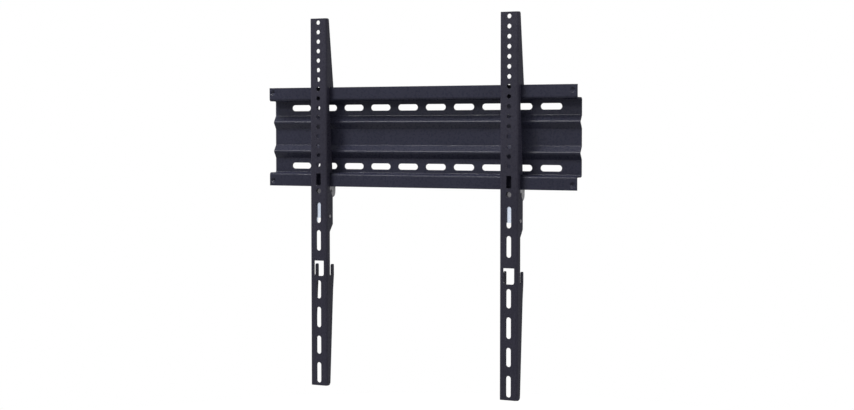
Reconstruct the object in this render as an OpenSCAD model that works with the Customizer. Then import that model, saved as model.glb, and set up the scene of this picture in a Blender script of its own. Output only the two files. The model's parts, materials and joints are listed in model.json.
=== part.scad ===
/* [Wall plate] */
// Width of the wall plate
plate_w = 378.6; // [340:0.2:460]
// Height of the wall plate over both lips
plate_h = 113.2; // [106:0.2:130]
// Distance from the wall to the front of the lips
plate_d = 15.7; // [14.5:0.1:17]
// Sheet thickness of the wall plate
plate_t = 1.6; // [1.2:0.1:2]
// Height of each lip, from the outside of its shelf to its free edge
lip_h = 15.3; // [14:0.1:17]
// Inner radius of the bends in the sheet metal
bend_r = 1.2; // [0.8:0.1:1.6]

/* [Stiffening ribs] */
// Distance from the middle of the plate to the crest of each rib
rib_z = 16.8; // [15:0.1:17.5]
// Height of each rib over the face of the web
rib_rise = 4.9; // [3.5:0.1:6]
// Half the width of a rib at its foot
rib_half_w = 7.2; // [6.5:0.1:8]

/* [Wall slots] */
// Length of each wall slot over its round ends
slot_l = 25; // [20:0.1:28]
// Width of each wall slot
slot_w = 6.9; // [6:0.1:8]
// Distance between wall slots along a row
slot_pitch = 34.4; // [32:0.1:35]
// Number of slots in each row
slot_count = 10; // [6:1:10]
// Distance from the middle of the plate to each row of slots
slot_row_z = 33.4; // [31:0.1:34.5]

/* [Arm stops] */
// Diameter of the pressed stops in the corners of the lips, at their rim
stop_d = 6.4; // [5:0.1:6.8]
// Diameter of the flat bottom of a stop
stop_flat_d = 2.2; // [1.6:0.1:3]
// Depth of the pressed stops
stop_rise = 1.4; // [0.8:0.1:1.6]
// Distance from the end of the lip to the middle of a stop
stop_inset = 5; // [4:0.5:10]
// Distance from the free edge of the lip to the middle of a stop
stop_drop = 6; // [5:0.1:7]

/* [Arms] */
// Width of each arm
arm_w = 21.4; // [19:0.1:26]
// Length of each arm
arm_l = 419.6; // [415:0.2:440]
// Sheet thickness of the arms
arm_t = 1.5; // [1.2:0.1:1.8]
// Distance from the wall to the front of the arms
arm_front = 25; // [24:0.1:27]
// Height of the top of the arms over the middle of the plate
arm_top = 134.6; // [133:0.1:140]
// Depth of the flanges at the hooks, from the front of the arm
flange_d = 16.8; // [15.8:0.1:17.5]
// Depth of the flanges at the top of the arm
top_d = 6.4; // [5:0.1:8]
// Depth of the flanges at the bottom of the arm
bottom_d = 7.6; // [6:0.1:9]
// Depth of the flanges where they carry the latch
latch_zone_d = 14.5; // [13.5:0.1:15]
// Depth of the flanges at the narrow waist under the latch
waist_d = 7.3; // [6:0.1:8.2]
// Distance from the middle of the plate to the left arm
left_arm_x = 119.4; // [60:0.1:150]
// Distance from the middle of the plate to the right arm
right_arm_x = 115.1; // [60:0.1:150]

/* [Screen holes] */
// Diameter of the round screw holes in the face of an arm
hole_d = 5; // [4.4:0.1:7]
// Distance between the round holes
hole_pitch = 10.76; // [10.2:0.02:10.8]
// Number of round holes in each arm
hole_count = 16; // [10:1:16]
// Diameter of the round hole that shows the latch
sight_hole_d = 6; // [4.4:0.1:7]
// Distance from the top of the arm to the first hole
hole_inset = 4.7; // [4.5:0.1:7]
// Width of the long slots in the face of an arm
arm_slot_w = 5.7; // [4.6:0.1:7.4]
// Length of the long slots
long_slot = 23.6; // [18:0.1:26]
// Length of the short slots
short_slot = 21; // [16:0.1:23]
// Distance between the slots along the arm
arm_slot_pitch = 31.9; // [31:0.1:32.4]

/* [Latches] */
// Sheet thickness of the latches
latch_t = 1.2; // [1:0.1:1.4]
// Depth of the latch hook, from the front of the arm
latch_d = 24.2; // [21:0.1:24.4]
// Length of a latch under the lip of the plate, without its hook
latch_l = 39.2; // [38.6:0.1:41]
// How far the hook of the latch reaches up behind the lip
latch_catch = 6.5; // [5:0.1:7]
// How far the latch slides down to let go of the lip
latch_travel = 8; // [7.5:0.1:8.5]
// Diameter of the rivet that guides the latch
rivet_d = 3; // [2.4:0.1:4]
// Diameter of the pin across the hook end of the latch
pin_d = 3.6; // [3:0.1:4]
// Diameter of the spring wire
wire_d = 0.8; // [0.6:0.05:1]
// Outer diameter of the spring
spring_d = 6.4; // [5.5:0.1:7]

/* [Fits] */
// Gap between pieces that slide or hook on one another
hook_gap = 0.3; // [0.2:0.05:0.5]
// Gap around a rivet or pin in its hole
pin_gap = 0.05; // [0.02:0.01:0.1]

/* [Hidden] */
$fn = 48;
cut = 1;
seat = 0.1;
powder_coat = "#38363f";
zinc = "#b9bfc8";
dark_steel = "#4a4a4e";

// Levels of the folded plate, over and under its middle
lip_edge = plate_h / 2;
shelf_in = lip_edge - lip_h;
shelf_out = shelf_in + plate_t;
stop_x = plate_w / 2 - stop_inset;
stop_z = lip_edge - stop_drop;

// Depths from the front of an arm to the lips of the plate
lip_front_d = arm_front - plate_d;
lip_back_d = lip_front_d + plate_t;
hook_front_d = lip_back_d + hook_gap;

// The upper hook of an arm, which hangs on the upper lip
hook_z = lip_edge + hook_gap;
hook_tip_z = shelf_out + 1.1;
upper_throat_d = lip_front_d - 1.7;

// The edge of the flanges between the two lips
mid_top_d = lip_front_d - 2.4;
mid_bottom_d = latch_zone_d - 1;
mid_z = shelf_in - 7.3;
mid_end_z = shelf_in - 0.9;

// The lower throat of an arm, which drops over the lower lip
lower_throat_d = lip_front_d - 2.1;
lead_in_z = lip_edge + 2;
latch_zone_z = lead_in_z + 12;

// Marks in the face of an arm, as distances from its top
square_slot_top = 176.2;
square_slot_l = 13.4;
square_slot_w = 6;
sight_hole = 196.3;
first_slot = 220.9;
third_slot = 309;

// Ends of the latches, under the middle of the plate
latch_top_z = lip_edge + 2;
latch_end_z = latch_top_z + latch_l;
latch_foot_l = 5.6;
latch_web_z = latch_end_z - latch_foot_l;

// The waist, and the spare hook with its window for a taller plate
chamfer_z = latch_end_z + 2;
chamfer_l = 8.6;
waist_z = chamfer_z + chamfer_l;
spare_hook_w = 5.5;
spare_hook_l = 13;
spare_foot_l = 16.5;
window_land = 5;
spare_slit_z = arm_top - third_slot + short_slot / 2 + window_land;
spare_tip_z = spare_slit_z + spare_hook_l;
spare_foot_z = spare_slit_z - spare_foot_l;
spare_foot_d = flange_d - 2;
window_w = 13;
window_top_z = spare_tip_z + spare_hook_w - 1;

// The latch runs inside the arm, guided by a rivet in its slotted cheeks
latch_w = arm_w - 2 * arm_t - 2 * hook_gap;
latch_front_d = arm_t + hook_gap;
latch_back_d = latch_zone_d - 1.3;
hook_peak_z = lip_edge - latch_catch;
hook_heel_z = latch_top_z + 10.6;
hook_heel_r = 6.5;
rivet_z = latch_web_z - 1.8;
rivet_reach = 7;
rivet_head_r = rivet_d / 2 + 0.5;
rivet_head_t = 0.9;
pin_reach = hook_front_d + 3.3;
pin_z = lip_edge + 5.3;
tongue_z = latch_top_z + 8;
tongue_w = spring_d;
tongue_end_d = rivet_reach + spring_d / 2;
spring_low = -rivet_z + rivet_d / 2 + 0.1;
spring_high = -tongue_z - latch_t - 0.1;
spring_turns = 9;

// Points on the round of one corner, where the line p-q turns towards r
function unit(v) = v / norm(v);
function left_of(v) = [-v[1], v[0]];
function turned(v, a) = [v[0] * cos(a) - v[1] * sin(a), v[0] * sin(a) + v[1] * cos(a)];
function bend(p, q, r, radius, shift, steps) =
    let (
        u = unit(q - p),
        v = unit(r - q),
        a = atan2(u[0] * v[1] - u[1] * v[0], u * v),
        s = sign(a),
        centre = q - u * radius * tan(abs(a) / 2) + left_of(u) * s * radius
    )
    [for (i = [0:steps]) centre - turned(left_of(u), a * i / steps) * s * (radius - s * shift)];

// Closed outline whose corners are given as [x, y, radius]
function corner(c) = [c[0], c[1]];
function rounded(cs, steps) =
    let (n = len(cs))
    [
        for (i = [0:n - 1])
            each cs[i][2] == 0
                ? [corner(cs[i])]
                : bend(corner(cs[(i + n - 1) % n]), corner(cs[i]), corner(cs[(i + 1) % n]), cs[i][2], 0, steps)
    ];

// Section of a folded sheet along the points of its middle line
function fold_side(path, radius, shift, steps) =
    let (
        n = len(path),
        first = unit(path[1] - path[0]),
        last = unit(path[n - 1] - path[n - 2])
    )
    [
        path[0] + left_of(first) * shift,
        for (i = [1:n - 2])
            each bend(path[i - 1], path[i], path[i + 1], radius, shift, steps),
        path[n - 1] + left_of(last) * shift
    ];
function backwards(points) = [for (i = [len(points) - 1:-1:0]) points[i]];
function fold(path, radius, thickness, steps) =
    concat(
        fold_side(path, radius + thickness / 2, thickness / 2, steps),
        backwards(fold_side(path, radius + thickness / 2, -thickness / 2, steps))
    );

// Lays a drawing of depth and height across the width, centred on x = 0
module across(width) {
    translate([-width / 2, 0, 0])
        rotate([90, 0, 90])
            linear_extrude(height = width)
                children();
}

// A slot with round ends, cut from front to back
module round_slot(length, width, depth, along) {
    reach = (length - width) / 2;
    rotate([90, 0, 0])
        linear_extrude(height = depth, center = true)
            rotate(along == "z" ? 90 : 0)
                union() {
                    square([2 * reach, width], center = true);
                    for (side = [-1, 1])
                        translate([side * reach, 0])
                            circle(d = width);
                }
}

// Wall plate: one folded sheet with two ribs, two shelves and two lips
function plate_path() =
    let (
        lip_y = -plate_d + plate_t / 2,
        web_y = -plate_t / 2,
        crest_y = web_y - rib_rise,
        shelf = (shelf_in + shelf_out) / 2,
        upper = [
            [lip_y, lip_edge],
            [lip_y, shelf],
            [web_y, shelf],
            [web_y, rib_z + rib_half_w],
            [crest_y, rib_z],
            [web_y, rib_z - rib_half_w]
        ]
    )
    concat(upper, [for (p = backwards(upper)) [p[0], -p[1]]]);

// The four stops, which point from the front of the lips to the wall
module at_stops(depth) {
    for (side = [-1, 1], level = [-1, 1])
        translate([side * stop_x, depth, level * stop_z])
            rotate([-90, 0, 0])
                children();
}

module wall_plate() {
    color(powder_coat)
        difference() {
            union() {
                across(plate_w)
                    polygon(fold(plate_path(), bend_r, plate_t, 5));
                at_stops(-plate_d + plate_t - seat)
                    cylinder(d1 = stop_d, d2 = stop_flat_d, h = stop_rise + seat);
            }
            for (level = [-1, 1], i = [0:slot_count - 1])
                translate([(i - (slot_count - 1) / 2) * slot_pitch, -plate_t / 2, level * slot_row_z])
                    round_slot(slot_l, slot_w, plate_t + 2 * cut, "x");
            at_stops(-plate_d)
                cylinder(d1 = stop_d, d2 = stop_flat_d, h = stop_rise);
        }
}

// Side view of an arm, as depth from its front and height
function flange_outline() = rounded([
    [0, arm_top, 0],
    [top_d, arm_top, 2.5],
    [flange_d, hook_z, 2],
    [flange_d, hook_tip_z, 1.6],
    [hook_front_d, hook_tip_z, 1.6],
    [hook_front_d, hook_z, 0.5],
    [upper_throat_d, hook_z, 1],
    [upper_throat_d, shelf_in, 1],
    [mid_top_d, mid_z, 4],
    [mid_bottom_d, -mid_z, 4],
    [mid_bottom_d, -mid_end_z, 1],
    [lower_throat_d, -mid_end_z, 0.8],
    [lower_throat_d, -lead_in_z, 3],
    [latch_zone_d, -latch_zone_z + 2, 4],
    [latch_zone_d, -chamfer_z, 1.5],
    [waist_d, -waist_z, 2],
    [waist_d, spare_slit_z, 1.5],
    [flange_d - spare_hook_w, spare_slit_z, 1.5],
    [flange_d - spare_hook_w, spare_tip_z, 1.8],
    [flange_d, spare_tip_z, 1.8],
    [flange_d, spare_slit_z, 8],
    [spare_foot_d, spare_foot_z, 20],
    [bottom_d, arm_top - arm_l, 4],
    [0, arm_top - arm_l, 0]
], 6);

// A channel folded from a blank, open towards the wall
module channel(width, front, deep, thickness, low, high, radius) {
    half = (width - thickness) / 2;
    path = [
        [-half, deep],
        [-half, front + thickness / 2],
        [half, front + thickness / 2],
        [half, deep]
    ];
    translate([0, 0, low])
        linear_extrude(height = high - low)
            polygon(fold(path, radius, thickness, 6));
}

module at_left_arm() {
    translate([-left_arm_x, -arm_front, 0])
        children();
}

module at_right_arm() {
    translate([right_arm_x, -arm_front, 0])
        children();
}

// Cuts in the face of an arm, placed by their distance from its top
module face_cut(from_top) {
    translate([0, arm_t / 2, arm_top - from_top])
        children();
}

function window_outline() = rounded([
    [-window_w / 2, window_top_z, 0],
    [window_w / 2, window_top_z, 0],
    [window_w / 2, spare_slit_z, 2.5],
    [-window_w / 2, spare_slit_z, 2.5]
], 5);

module arm_face_cuts() {
    deep = arm_t + 2 * cut;
    for (i = [0:hole_count - 1])
        face_cut(hole_inset + i * hole_pitch)
            rotate([90, 0, 0])
                cylinder(d = hole_d, h = deep, center = true);
    face_cut(square_slot_top + square_slot_l / 2)
        cube([square_slot_w, deep, square_slot_l], center = true);
    face_cut(sight_hole)
        rotate([90, 0, 0])
            cylinder(d = sight_hole_d, h = deep, center = true);
    for (i = [0, 1])
        face_cut(first_slot + i * arm_slot_pitch)
            round_slot(long_slot, arm_slot_w, deep, "z");
    for (i = [0:3])
        face_cut(third_slot + i * arm_slot_pitch)
            round_slot(i % 2 == 0 ? short_slot : long_slot, arm_slot_w, deep, "z");
    face_cut(arm_top)
        rotate([90, 0, 0])
            linear_extrude(height = deep, center = true)
                polygon(window_outline());
}

module arm() {
    color(powder_coat)
        difference() {
            intersection() {
                channel(arm_w, 0, flange_d + cut, arm_t, arm_top - arm_l, arm_top, bend_r);
                across(arm_w + 2 * cut)
                    polygon(flange_outline());
            }
            arm_face_cuts();
            translate([0, rivet_reach, -rivet_z])
                rotate([0, 90, 0])
                    cylinder(d = rivet_d + 2 * pin_gap, h = arm_w + 2 * cut, center = true);
        }
}

module left_arm() {
    at_left_arm() arm();
}

module right_arm() {
    at_right_arm() arm();
}

// Rivet through both flanges, with a low head on each side
module guide_rivet() {
    color(dark_steel)
        translate([0, rivet_reach, -rivet_z])
            rotate([0, 90, 0])
                union() {
                    cylinder(d = rivet_d, h = arm_w + rivet_head_t, center = true);
                    for (side = [0, 1])
                        mirror([0, 0, side])
                            translate([0, 0, arm_w / 2])
                                rotate_extrude()
                                    polygon([
                                        [0, 0],
                                        [rivet_head_r, 0],
                                        [rivet_head_r, rivet_head_t / 2],
                                        [rivet_head_r - rivet_head_t / 2, rivet_head_t],
                                        [0, rivet_head_t]
                                    ]);
                }
}

module left_guide_rivet() {
    at_left_arm() guide_rivet();
}

module right_guide_rivet() {
    at_right_arm() guide_rivet();
}

// Side view of a latch: web in front, hook behind the lower lip
function latch_outline() = rounded([
    [latch_front_d, -latch_top_z, 0],
    [hook_front_d, -latch_top_z, 0.8],
    [hook_front_d, -hook_peak_z, 0.8],
    [hook_front_d + 2, -hook_peak_z, 1],
    [latch_d, -lip_edge, 1.5],
    [latch_d, -hook_heel_z, hook_heel_r],
    [latch_back_d, -hook_heel_z, 1],
    [latch_back_d, -latch_end_z, 3],
    [rivet_reach - 2.6, -latch_end_z, 2],
    [rivet_reach - 2.6, -latch_web_z, 0.8],
    [latch_front_d, -latch_web_z, 0]
], 5);

// Slot across both cheeks, upwards from where the rivet rests
module guide_slot(width, travel, length) {
    for (rise = [0, travel])
        translate([0, 0, rise])
            rotate([0, 90, 0])
                cylinder(d = width, h = length, center = true);
    translate([0, 0, travel / 2])
        cube([length, width, travel], center = true);
}

module latch() {
    color(zinc)
        difference() {
            union() {
                intersection() {
                    channel(latch_w, latch_front_d, latch_d + cut, latch_t,
                        -latch_end_z, -hook_peak_z, latch_t);
                    across(latch_w + 2 * cut)
                        polygon(latch_outline());
                }
                translate([-tongue_w / 2, latch_front_d, -tongue_z - latch_t])
                    cube([tongue_w, tongue_end_d - latch_front_d, latch_t]);
            }
            translate([-tongue_w / 2, latch_front_d - cut, -tongue_z - latch_t - tongue_w])
                cube([tongue_w, latch_t + 2 * cut, tongue_w]);
            translate([0, rivet_reach, -rivet_z])
                guide_slot(rivet_d + 2 * hook_gap, latch_travel, latch_w + 2 * cut);
            translate([0, pin_reach, -pin_z])
                rotate([0, 90, 0])
                    cylinder(d = pin_d + 2 * pin_gap, h = latch_w + 2 * cut, center = true);
        }
}

module left_latch() {
    at_left_arm() latch();
}

module right_latch() {
    at_right_arm() latch();
}

// Pin across the two cheeks of a latch, flush with their outer faces
module latch_pin() {
    color(dark_steel)
        translate([0, pin_reach, -pin_z])
            rotate([0, 90, 0])
                cylinder(d = pin_d, h = latch_w, center = true);
}

module left_latch_pin() {
    at_left_arm() latch_pin();
}

module right_latch_pin() {
    at_right_arm() latch_pin();
}

// Coil spring between the rivet and the tongue of the latch
function coil_rise(k) =
    let (
        closed = wire_d,
        span = spring_high - spring_low - wire_d,
        open = (span - 2 * closed) / (spring_turns - 2)
    )
    k < 1 ? k * closed
        : k < spring_turns - 1 ? closed + (k - 1) * open
        : span - (spring_turns - k) * closed;
function coil_ring(k, sides) =
    let (
        mean = (spring_d - wire_d) / 2,
        z = spring_low + wire_d / 2 + coil_rise(k)
    )
    [
        for (j = [0:sides - 1])
            let (
                b = 360 * j / sides,
                reach = mean + wire_d / 2 * cos(b)
            )
            [reach * cos(360 * k), rivet_reach + reach * sin(360 * k), z + wire_d / 2 * sin(b)]
    ];

module latch_spring() {
    sides = 6;
    per_turn = 12;
    rings = spring_turns * per_turn;
    points = [for (i = [0:rings]) each coil_ring(i / per_turn, sides)];
    faces = concat(
        [[for (j = [0:sides - 1]) j]],
        [
            for (i = [0:rings - 1], j = [0:sides - 1])
                let (a = i * sides + j, b = i * sides + (j + 1) % sides)
                [a, a + sides, b + sides, b]
        ],
        [[for (j = [sides - 1:-1:0]) rings * sides + j]]
    );
    color(zinc)
        polyhedron(points, faces);
}

module left_latch_spring() {
    at_left_arm() latch_spring();
}

module right_latch_spring() {
    at_right_arm() latch_spring();
}

wall_plate();
left_arm();
right_arm();
left_guide_rivet();
right_guide_rivet();
left_latch_spring();
right_latch_spring();
left_latch();
right_latch();
left_latch_pin();
right_latch_pin();
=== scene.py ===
import json
import math

import bpy
from mathutils import Matrix, Vector


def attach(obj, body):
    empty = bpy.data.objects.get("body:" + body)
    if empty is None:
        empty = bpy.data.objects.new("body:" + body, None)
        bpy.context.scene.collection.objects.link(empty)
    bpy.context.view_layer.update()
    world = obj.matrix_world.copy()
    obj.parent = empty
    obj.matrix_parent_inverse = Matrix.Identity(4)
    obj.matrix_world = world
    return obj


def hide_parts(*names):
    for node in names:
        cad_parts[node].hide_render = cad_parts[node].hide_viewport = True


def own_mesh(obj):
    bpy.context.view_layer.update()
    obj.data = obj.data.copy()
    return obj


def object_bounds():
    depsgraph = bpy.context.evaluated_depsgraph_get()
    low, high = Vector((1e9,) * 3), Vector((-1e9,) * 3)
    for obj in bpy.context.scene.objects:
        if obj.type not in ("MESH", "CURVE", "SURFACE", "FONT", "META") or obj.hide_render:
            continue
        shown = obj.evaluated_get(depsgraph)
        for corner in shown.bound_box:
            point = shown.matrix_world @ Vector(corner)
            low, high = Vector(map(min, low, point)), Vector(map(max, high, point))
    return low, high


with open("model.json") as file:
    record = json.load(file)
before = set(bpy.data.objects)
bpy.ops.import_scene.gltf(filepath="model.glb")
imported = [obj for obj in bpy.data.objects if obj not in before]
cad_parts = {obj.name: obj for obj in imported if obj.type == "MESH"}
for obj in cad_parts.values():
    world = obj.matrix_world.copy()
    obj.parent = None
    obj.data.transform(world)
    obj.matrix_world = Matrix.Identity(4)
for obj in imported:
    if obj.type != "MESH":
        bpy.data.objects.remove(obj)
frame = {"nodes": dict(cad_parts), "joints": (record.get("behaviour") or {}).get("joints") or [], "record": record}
cad_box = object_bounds()

# The camera of the photograph, fitted to the holes, slots and edges of the part
PHOTO_W = 854
FOCAL_PX = 1536.6
AZIMUTH = math.radians(25.307)
ELEVATION = math.radians(2.721)
ROLL = math.radians(0.002)
DISTANCE = 1.7239
AIM_RIGHT, AIM_UP = 0.00538, -0.07619
NEAREST, FURTHEST = 0.05, 20

# The darkest and the lightest tone of each finish
ARM_COAT = (0.0236, 0.0227, 0.0351), (0.0296, 0.0284, 0.0433)
PLATE_COAT = (0.0206, 0.0212, 0.0365), (0.0258, 0.0266, 0.0450)
BRIGHT_ZINC = (0.49, 0.54, 0.63), (0.56, 0.61, 0.70)
# The hook tones are painted shade: a dark tone for the hook end of a latch, which lies in shade
HOOK_SHADE = (0.078, 0.077, 0.084), (0.17, 0.165, 0.175)
SPRING_WIRE = (0.36, 0.37, 0.40), (0.50, 0.52, 0.55)
RIVET_STEEL = (0.10, 0.095, 0.105), (0.17, 0.165, 0.18)
PIN_STEEL = (0.012, 0.012, 0.013), (0.022, 0.021, 0.023)

# Scales of the noises, from the slow drift of a tone to the finest drawn lines
DRIFT, WEAR, CLOUD, PEEL, GRAIN, DRAWN = 14, 90, 160, 420, 1400, 2600

# How much of a noise's range counts, from a soft contrast to a sharp one
SOFT, FIRM, SHARP = (0.3, 0.7), (0.35, 0.65), (0.4, 0.6)

# The powder coat, with its gloss at a few turns from facing the eye (0) to edge on (1)
COAT_ROUGH = 0.24, 0.34
COAT_IOR = 1.2
COAT_GLOSS = (0.3, 0.5), (0.6, 0.06), (0.95, 0)
COAT_BUMP, COAT_RELIEF = 0.22, 0.00006
EDGE_RADIUS, EDGE_SAMPLES = 0.0004, 4

# Where its edges are rubbed: the colour, how far the edge turns, and how much is rubbed
WORN_COAT = (0.075, 0.075, 0.092)
FLAT_TURN, SHARP_TURN = 0.97, 0.85
LEAST_WORN, MOST_WORN = 0.15, 0.8

# Steel: roughness of each kind, its bump, and how far the drawn lines stretch
ZINC_ROUGH, HOOK_ROUGH = 0.27, 0.2
SPRING_ROUGH, RIVET_ROUGH, PIN_ROUGH = 0.28, 0.4, 0.45
SMOOTHER, ROUGHER = 0.06, 0.08
STEEL_BUMP, STEEL_RELIEF = 0.15, 0.00003
LINE_STRETCH = 0.06

# Heights between which painted shade turns the hook end of a latch from bright to dark, and how ragged that is
SHADE_FROM, SHADE_TO = -0.073, -0.068
SHADE_RAGGED = 0.003

# The floor lies under the lower edge of the picture, and turns white away from the object
FLOOR_HALF, FLOOR_DROP = 4, 0.14
FLOOR_NEAR, FLOOR_FAR = 0.45, 0.8
FLOOR_SEEN, FLOOR_LIT = 0.92, 0.3

# Soft light from all around, and the lamps: place, aim, size in metres and power in watts
WORLD_LIGHT = 0.2
MIDDLE = (0, 0, -0.07)
LAMPS = {
    "key": ((-0.60, -0.85, 1.80), (0, 0, -0.04), (0.5, 0.5), 40),
    "front": ((-0.3, -1.7, 1.25), MIDDLE, (1.4, 0.5), 12),
    "left": ((-2.0, -0.3, 0.3), MIDDLE, (1.0, 1.0), 15),
    "right": ((2.0, -0.3, 0.3), MIDDLE, (1.0, 1.0), 17),
    "back": ((-0.7, 1.9, 0.25), MIDDLE, (1.4, 0.8), 30),
    "strip": ((-0.2, -1.75, 1.15), MIDDLE, (2.6, 0.12), 170),
}


def link(nodes, source, target):
    nodes.id_data.links.new(source, target)


def feed(nodes, value, socket):
    """Give a socket a link from another node, or a plain number or colour."""
    if isinstance(value, bpy.types.NodeSocket):
        link(nodes, value, socket)
    else:
        socket.default_value = value


def new_material(name):
    material = bpy.data.materials.new(name)
    material.use_nodes = True
    nodes = material.node_tree.nodes
    return material, nodes, nodes["Principled BSDF"]


def on_the_piece(nodes):
    """Places on the piece itself, which stay the same as it moves."""
    return nodes.new("ShaderNodeTexCoord").outputs["Object"]


def noise(nodes, place, scale, detail=2.0, rough=0.5):
    texture = nodes.new("ShaderNodeTexNoise")
    texture.inputs["Scale"].default_value = scale
    texture.inputs["Detail"].default_value = detail
    texture.inputs["Roughness"].default_value = rough
    link(nodes, place, texture.inputs["Vector"])
    return texture.outputs["Fac"]


def cloudy(nodes, place, scale):
    """Noise with ragged edges, as of crystals or wear."""
    return noise(nodes, place, scale, detail=4, rough=0.6)


def spread(nodes, value, low, high, out_low=0, out_high=1):
    """Stretch the values from low to high over those from out_low to out_high."""
    stretch = nodes.new("ShaderNodeMapRange")
    stretch.inputs["From Min"].default_value = low
    stretch.inputs["From Max"].default_value = high
    stretch.inputs["To Min"].default_value = out_low
    stretch.inputs["To Max"].default_value = out_high
    link(nodes, value, stretch.inputs["Value"])
    return stretch.outputs["Result"]


def calculate(nodes, operation, *values):
    step = nodes.new("ShaderNodeMath")
    step.operation = operation
    for value, socket in zip(values, step.inputs):
        feed(nodes, value, socket)
    return step.outputs["Value"]


def ramp(nodes, value, tones):
    colours = nodes.new("ShaderNodeValToRGB")
    for stop, tone in zip(colours.color_ramp.elements, tones):
        stop.color = (*tone, 1)
    link(nodes, value, colours.inputs["Fac"])
    return colours.outputs["Color"]


def mix_colours(nodes, factor, first, second):
    mix = nodes.new("ShaderNodeMix")
    mix.data_type = "RGBA"
    for value, name in ((factor, "Factor"), (first, "A"), (second, "B")):
        feed(nodes, value, mix.inputs[name])
    return mix.outputs["Result"]


def mix_shaders(nodes, factor, first, second):
    mix = nodes.new("ShaderNodeMixShader")
    for value, socket in zip((factor, first, second), mix.inputs):
        link(nodes, value, socket)
    return mix.outputs["Shader"]


def bump(nodes, height, strength, distance):
    relief = nodes.new("ShaderNodeBump")
    relief.inputs["Strength"].default_value = strength
    relief.inputs["Distance"].default_value = distance
    link(nodes, height, relief.inputs["Height"])
    return relief


def sheen(nodes):
    """Gloss of the coat: strongest where it faces the eye, and gone where it is seen edge on."""
    facing = nodes.new("ShaderNodeLayerWeight").outputs["Facing"]
    fall = nodes.new("ShaderNodeValToRGB")
    stops = fall.color_ramp.elements
    stops.new(1)
    for stop, (turn, gloss) in zip(stops, COAT_GLOSS):
        stop.position = turn
        stop.color = (gloss, gloss, gloss, 1)
    link(nodes, facing, fall.inputs["Fac"])
    return fall.outputs["Color"]


def worn_edges(nodes, place, rounded):
    """Wear of the coat: broken lines along the sharp edges, and none on the flats."""
    across = nodes.new("ShaderNodeVectorMath")
    across.operation = "DOT_PRODUCT"
    link(nodes, rounded, across.inputs[0])
    link(nodes, nodes.new("ShaderNodeNewGeometry").outputs["Normal"], across.inputs[1])
    edges = spread(nodes, across.outputs["Value"], FLAT_TURN, SHARP_TURN)
    rubbed = spread(nodes, cloudy(nodes, place, WEAR), *SHARP, LEAST_WORN, MOST_WORN)
    return calculate(nodes, "MULTIPLY", edges, rubbed)


def powder_coat(name, tones):
    """Charcoal satin powder coat: fine orange-peel grain, slow drift of tone, wear along its edges."""
    material, nodes, shader = new_material(name)
    place = on_the_piece(nodes)
    edge = nodes.new("ShaderNodeBevel")
    edge.samples = EDGE_SAMPLES
    edge.inputs["Radius"].default_value = EDGE_RADIUS
    rounded = edge.outputs["Normal"]
    tone = ramp(nodes, spread(nodes, noise(nodes, place, DRIFT, detail=3), *SOFT), tones)
    coat = mix_colours(nodes, worn_edges(nodes, place, rounded), tone, (*WORN_COAT, 1))
    link(nodes, coat, shader.inputs["Base Color"])
    grain = noise(nodes, place, GRAIN)
    peel = noise(nodes, place, PEEL)
    link(nodes, spread(nodes, peel, *SOFT, *COAT_ROUGH), shader.inputs["Roughness"])
    shader.inputs["IOR"].default_value = COAT_IOR
    link(nodes, sheen(nodes), shader.inputs["Specular IOR Level"])
    relief = bump(nodes, calculate(nodes, "ADD", grain, peel), COAT_BUMP, COAT_RELIEF)
    link(nodes, rounded, relief.inputs["Normal"])
    link(nodes, relief.outputs["Normal"], shader.inputs["Normal"])
    return material


def drawn_steel(name, tones, roughness):
    """Plain or blackened steel: metallic, with cloudy crystals and fine drawn lines."""
    material, nodes, shader = new_material(name)
    shader.inputs["Metallic"].default_value = 1.0
    place = on_the_piece(nodes)
    cloud = cloudy(nodes, place, CLOUD)
    link(nodes, ramp(nodes, spread(nodes, cloud, *FIRM), tones), shader.inputs["Base Color"])
    rough = spread(nodes, cloud, *SOFT, roughness - SMOOTHER, roughness + ROUGHER)
    link(nodes, rough, shader.inputs["Roughness"])
    stretch = nodes.new("ShaderNodeMapping")
    stretch.inputs["Scale"].default_value = (1, 1, LINE_STRETCH)
    link(nodes, place, stretch.inputs["Vector"])
    relief = bump(nodes, noise(nodes, stretch.outputs["Vector"], DRAWN), STEEL_BUMP, STEEL_RELIEF)
    link(nodes, relief.outputs["Normal"], shader.inputs["Normal"])
    return material


def latch_steel():
    """Zinc plate on the web of a latch, and a dark tone painted on its hook end as shade."""
    material, nodes, shader = new_material("latch_steel")
    shader.inputs["Metallic"].default_value = 1.0
    place = on_the_piece(nodes)
    cloud = spread(nodes, cloudy(nodes, place, CLOUD), *FIRM)
    height = nodes.new("ShaderNodeSeparateXYZ")
    link(nodes, place, height.inputs["Vector"])
    ragged = calculate(nodes, "MULTIPLY_ADD", cloud, SHADE_RAGGED, height.outputs["Z"])
    # Painted shade: the hook end of the latch turns dark above these heights
    shaded_hook = spread(nodes, ragged, SHADE_FROM, SHADE_TO)
    both = mix_colours(nodes, shaded_hook, ramp(nodes, cloud, BRIGHT_ZINC), ramp(nodes, cloud, HOOK_SHADE))
    link(nodes, both, shader.inputs["Base Color"])
    link(nodes, spread(nodes, shaded_hook, 0, 1, ZINC_ROUGH, HOOK_ROUGH), shader.inputs["Roughness"])
    return material


def dress_nodes():
    """A material for each slot, apart from the plate, which is bluer, and the pins, which are black."""
    materials = {
        "powder_coat": powder_coat("arm_coat", ARM_COAT),
        "zinc_plate": latch_steel(),
        "spring_steel": drawn_steel("spring_steel", SPRING_WIRE, SPRING_ROUGH),
        "dark_steel": drawn_steel("dark_steel", RIVET_STEEL, RIVET_ROUGH),
    }
    black_pin = drawn_steel("black_pin", PIN_STEEL, PIN_ROUGH)
    special = {
        "wall_plate": powder_coat("plate_coat", PLATE_COAT),
        "left_latch_pin": black_pin,
        "right_latch_pin": black_pin,
    }
    for part in frame["record"]["subparts"]:
        piece = frame["nodes"][part["node"]]
        piece.data.materials.clear()
        piece.data.materials.append(special.get(part["node"], materials[part["material_slot"]]))


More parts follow.
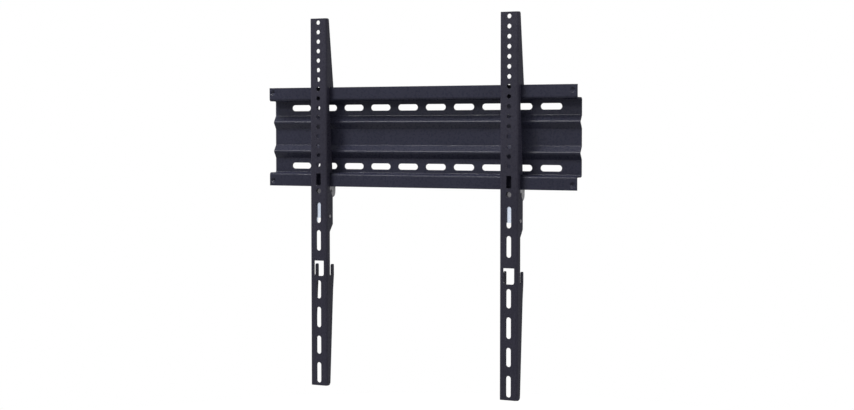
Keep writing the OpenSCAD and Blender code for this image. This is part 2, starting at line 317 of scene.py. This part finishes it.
def make_coils():
    """A copy of each latch spring, attached to its arm in place of the spring; on the real mount the latch presses
    the spring together as it is drawn down.
    """
    for joint in frame["joints"]:
        if "latch" not in joint["name"]:
            continue
        side = joint["name"].split("_")[0]
        spring = frame["nodes"][f"{side}_latch_spring"]
        coil = bpy.data.objects.new(f"{side}_coil", spring.data.copy())
        bpy.context.scene.collection.objects.link(coil)
        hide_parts(spring.name)
        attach(coil, f"{side}_arm")
        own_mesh(coil)


def seen_directly(nodes):
    """1 for what the camera, a reflection or a pane of glass sees, 0 for light that spreads."""
    path = nodes.new("ShaderNodeLightPath").outputs
    seen_or_mirrored = calculate(nodes, "MAXIMUM", path["Is Camera Ray"], path["Is Glossy Ray"])
    return calculate(nodes, "MAXIMUM", seen_or_mirrored, path["Is Transmission Ray"])


def plain(nodes, kind, level):
    """A shader of one kind, in white or a grey."""
    shader = nodes.new(kind)
    shader.inputs["Color"].default_value = (level, level, level, 1)
    return shader


def pale_floor():
    """Plain pale floor: keeps the object's shadow, turns white away from it and is clear from below."""
    material, nodes, shader = new_material("pale_floor")
    nodes.remove(shader)
    pale = plain(nodes, "ShaderNodeBsdfDiffuse", FLOOR_SEEN).outputs["BSDF"]
    dull = plain(nodes, "ShaderNodeBsdfDiffuse", FLOOR_LIT).outputs["BSDF"]
    white = plain(nodes, "ShaderNodeEmission", 1).outputs["Emission"]
    clear = plain(nodes, "ShaderNodeBsdfTransparent", 1).outputs["BSDF"]
    reach = nodes.new("ShaderNodeVectorMath")
    reach.operation = "LENGTH"
    link(nodes, on_the_piece(nodes), reach.inputs[0])
    away = spread(nodes, reach.outputs["Value"], FLOOR_NEAR, FLOOR_FAR)
    shown = mix_shaders(nodes, away, pale, white)
    above = mix_shaders(nodes, seen_directly(nodes), dull, shown)
    below = nodes.new("ShaderNodeNewGeometry").outputs["Backfacing"]
    link(nodes, mix_shaders(nodes, below, above, clear), nodes["Material Output"].inputs["Surface"])
    return material


def make_stage():
    mesh = bpy.data.meshes.new("floor")
    corners = [(-1, -1), (1, -1), (1, 1), (-1, 1)]
    mesh.from_pydata([(x * FLOOR_HALF, y * FLOOR_HALF, 0) for x, y in corners], [], [(0, 1, 2, 3)])
    mesh.materials.append(pale_floor())
    floor = bpy.data.objects.new("floor", mesh)
    floor.location.z = cad_box[0].z - FLOOR_DROP
    bpy.context.scene.collection.objects.link(floor)


def area_light(name, place, aim, size, power):
    """A soft lamp, which no surface mirrors."""
    data = bpy.data.lights.new(name, "AREA")
    data.shape = "RECTANGLE"
    data.size, data.size_y = size
    data.energy = power
    lamp = bpy.data.objects.new(name, data)
    bpy.context.scene.collection.objects.link(lamp)
    lamp.visible_glossy = False
    lamp.location = place
    lamp.rotation_euler = (Vector(aim) - Vector(place)).to_track_quat("-Z", "Y").to_euler()
    return lamp


def make_light():
    world = bpy.data.worlds.new("studio")
    bpy.context.scene.world = world
    world.use_nodes = True
    nodes = world.node_tree.nodes
    nodes.clear()
    soft = plain(nodes, "ShaderNodeBackground", 1)
    soft.inputs["Strength"].default_value = WORLD_LIGHT
    white = plain(nodes, "ShaderNodeBackground", 1)
    sky = mix_shaders(nodes, seen_directly(nodes), soft.outputs["Background"], white.outputs["Background"])
    link(nodes, sky, nodes.new("ShaderNodeOutputWorld").inputs["Surface"])
    lamps = {name: area_light(name, *settings) for name, settings in LAMPS.items()}
    # The strip does nothing but draw the thin bright lines along the bends
    lamps["strip"].visible_glossy = True
    lamps["strip"].visible_diffuse = False


def make_camera():
    back = Vector((
        math.sin(AZIMUTH) * math.cos(ELEVATION),
        -math.cos(AZIMUTH) * math.cos(ELEVATION),
        math.sin(ELEVATION),
    ))
    level = Vector((math.cos(AZIMUTH), math.sin(AZIMUTH), 0))
    upright = level.cross(-back)
    right = math.cos(ROLL) * level + math.sin(ROLL) * upright
    up = math.cos(ROLL) * upright - math.sin(ROLL) * level
    data = bpy.data.cameras.new("camera")
    data.sensor_fit = "HORIZONTAL"
    data.lens = FOCAL_PX / PHOTO_W * data.sensor_width
    data.clip_start, data.clip_end = NEAREST, FURTHEST
    camera = bpy.data.objects.new("camera", data)
    bpy.context.scene.collection.objects.link(camera)
    turn = Matrix((right, up, back)).transposed().to_4x4()
    place = back * DISTANCE + right * AIM_RIGHT + up * AIM_UP
    camera.matrix_world = Matrix.Translation(place) @ turn
    bpy.context.scene.camera = camera


bpy.context.scene.view_settings.view_transform = "Standard"
dress_nodes()
make_coils()
make_stage()
make_light()
make_camera()
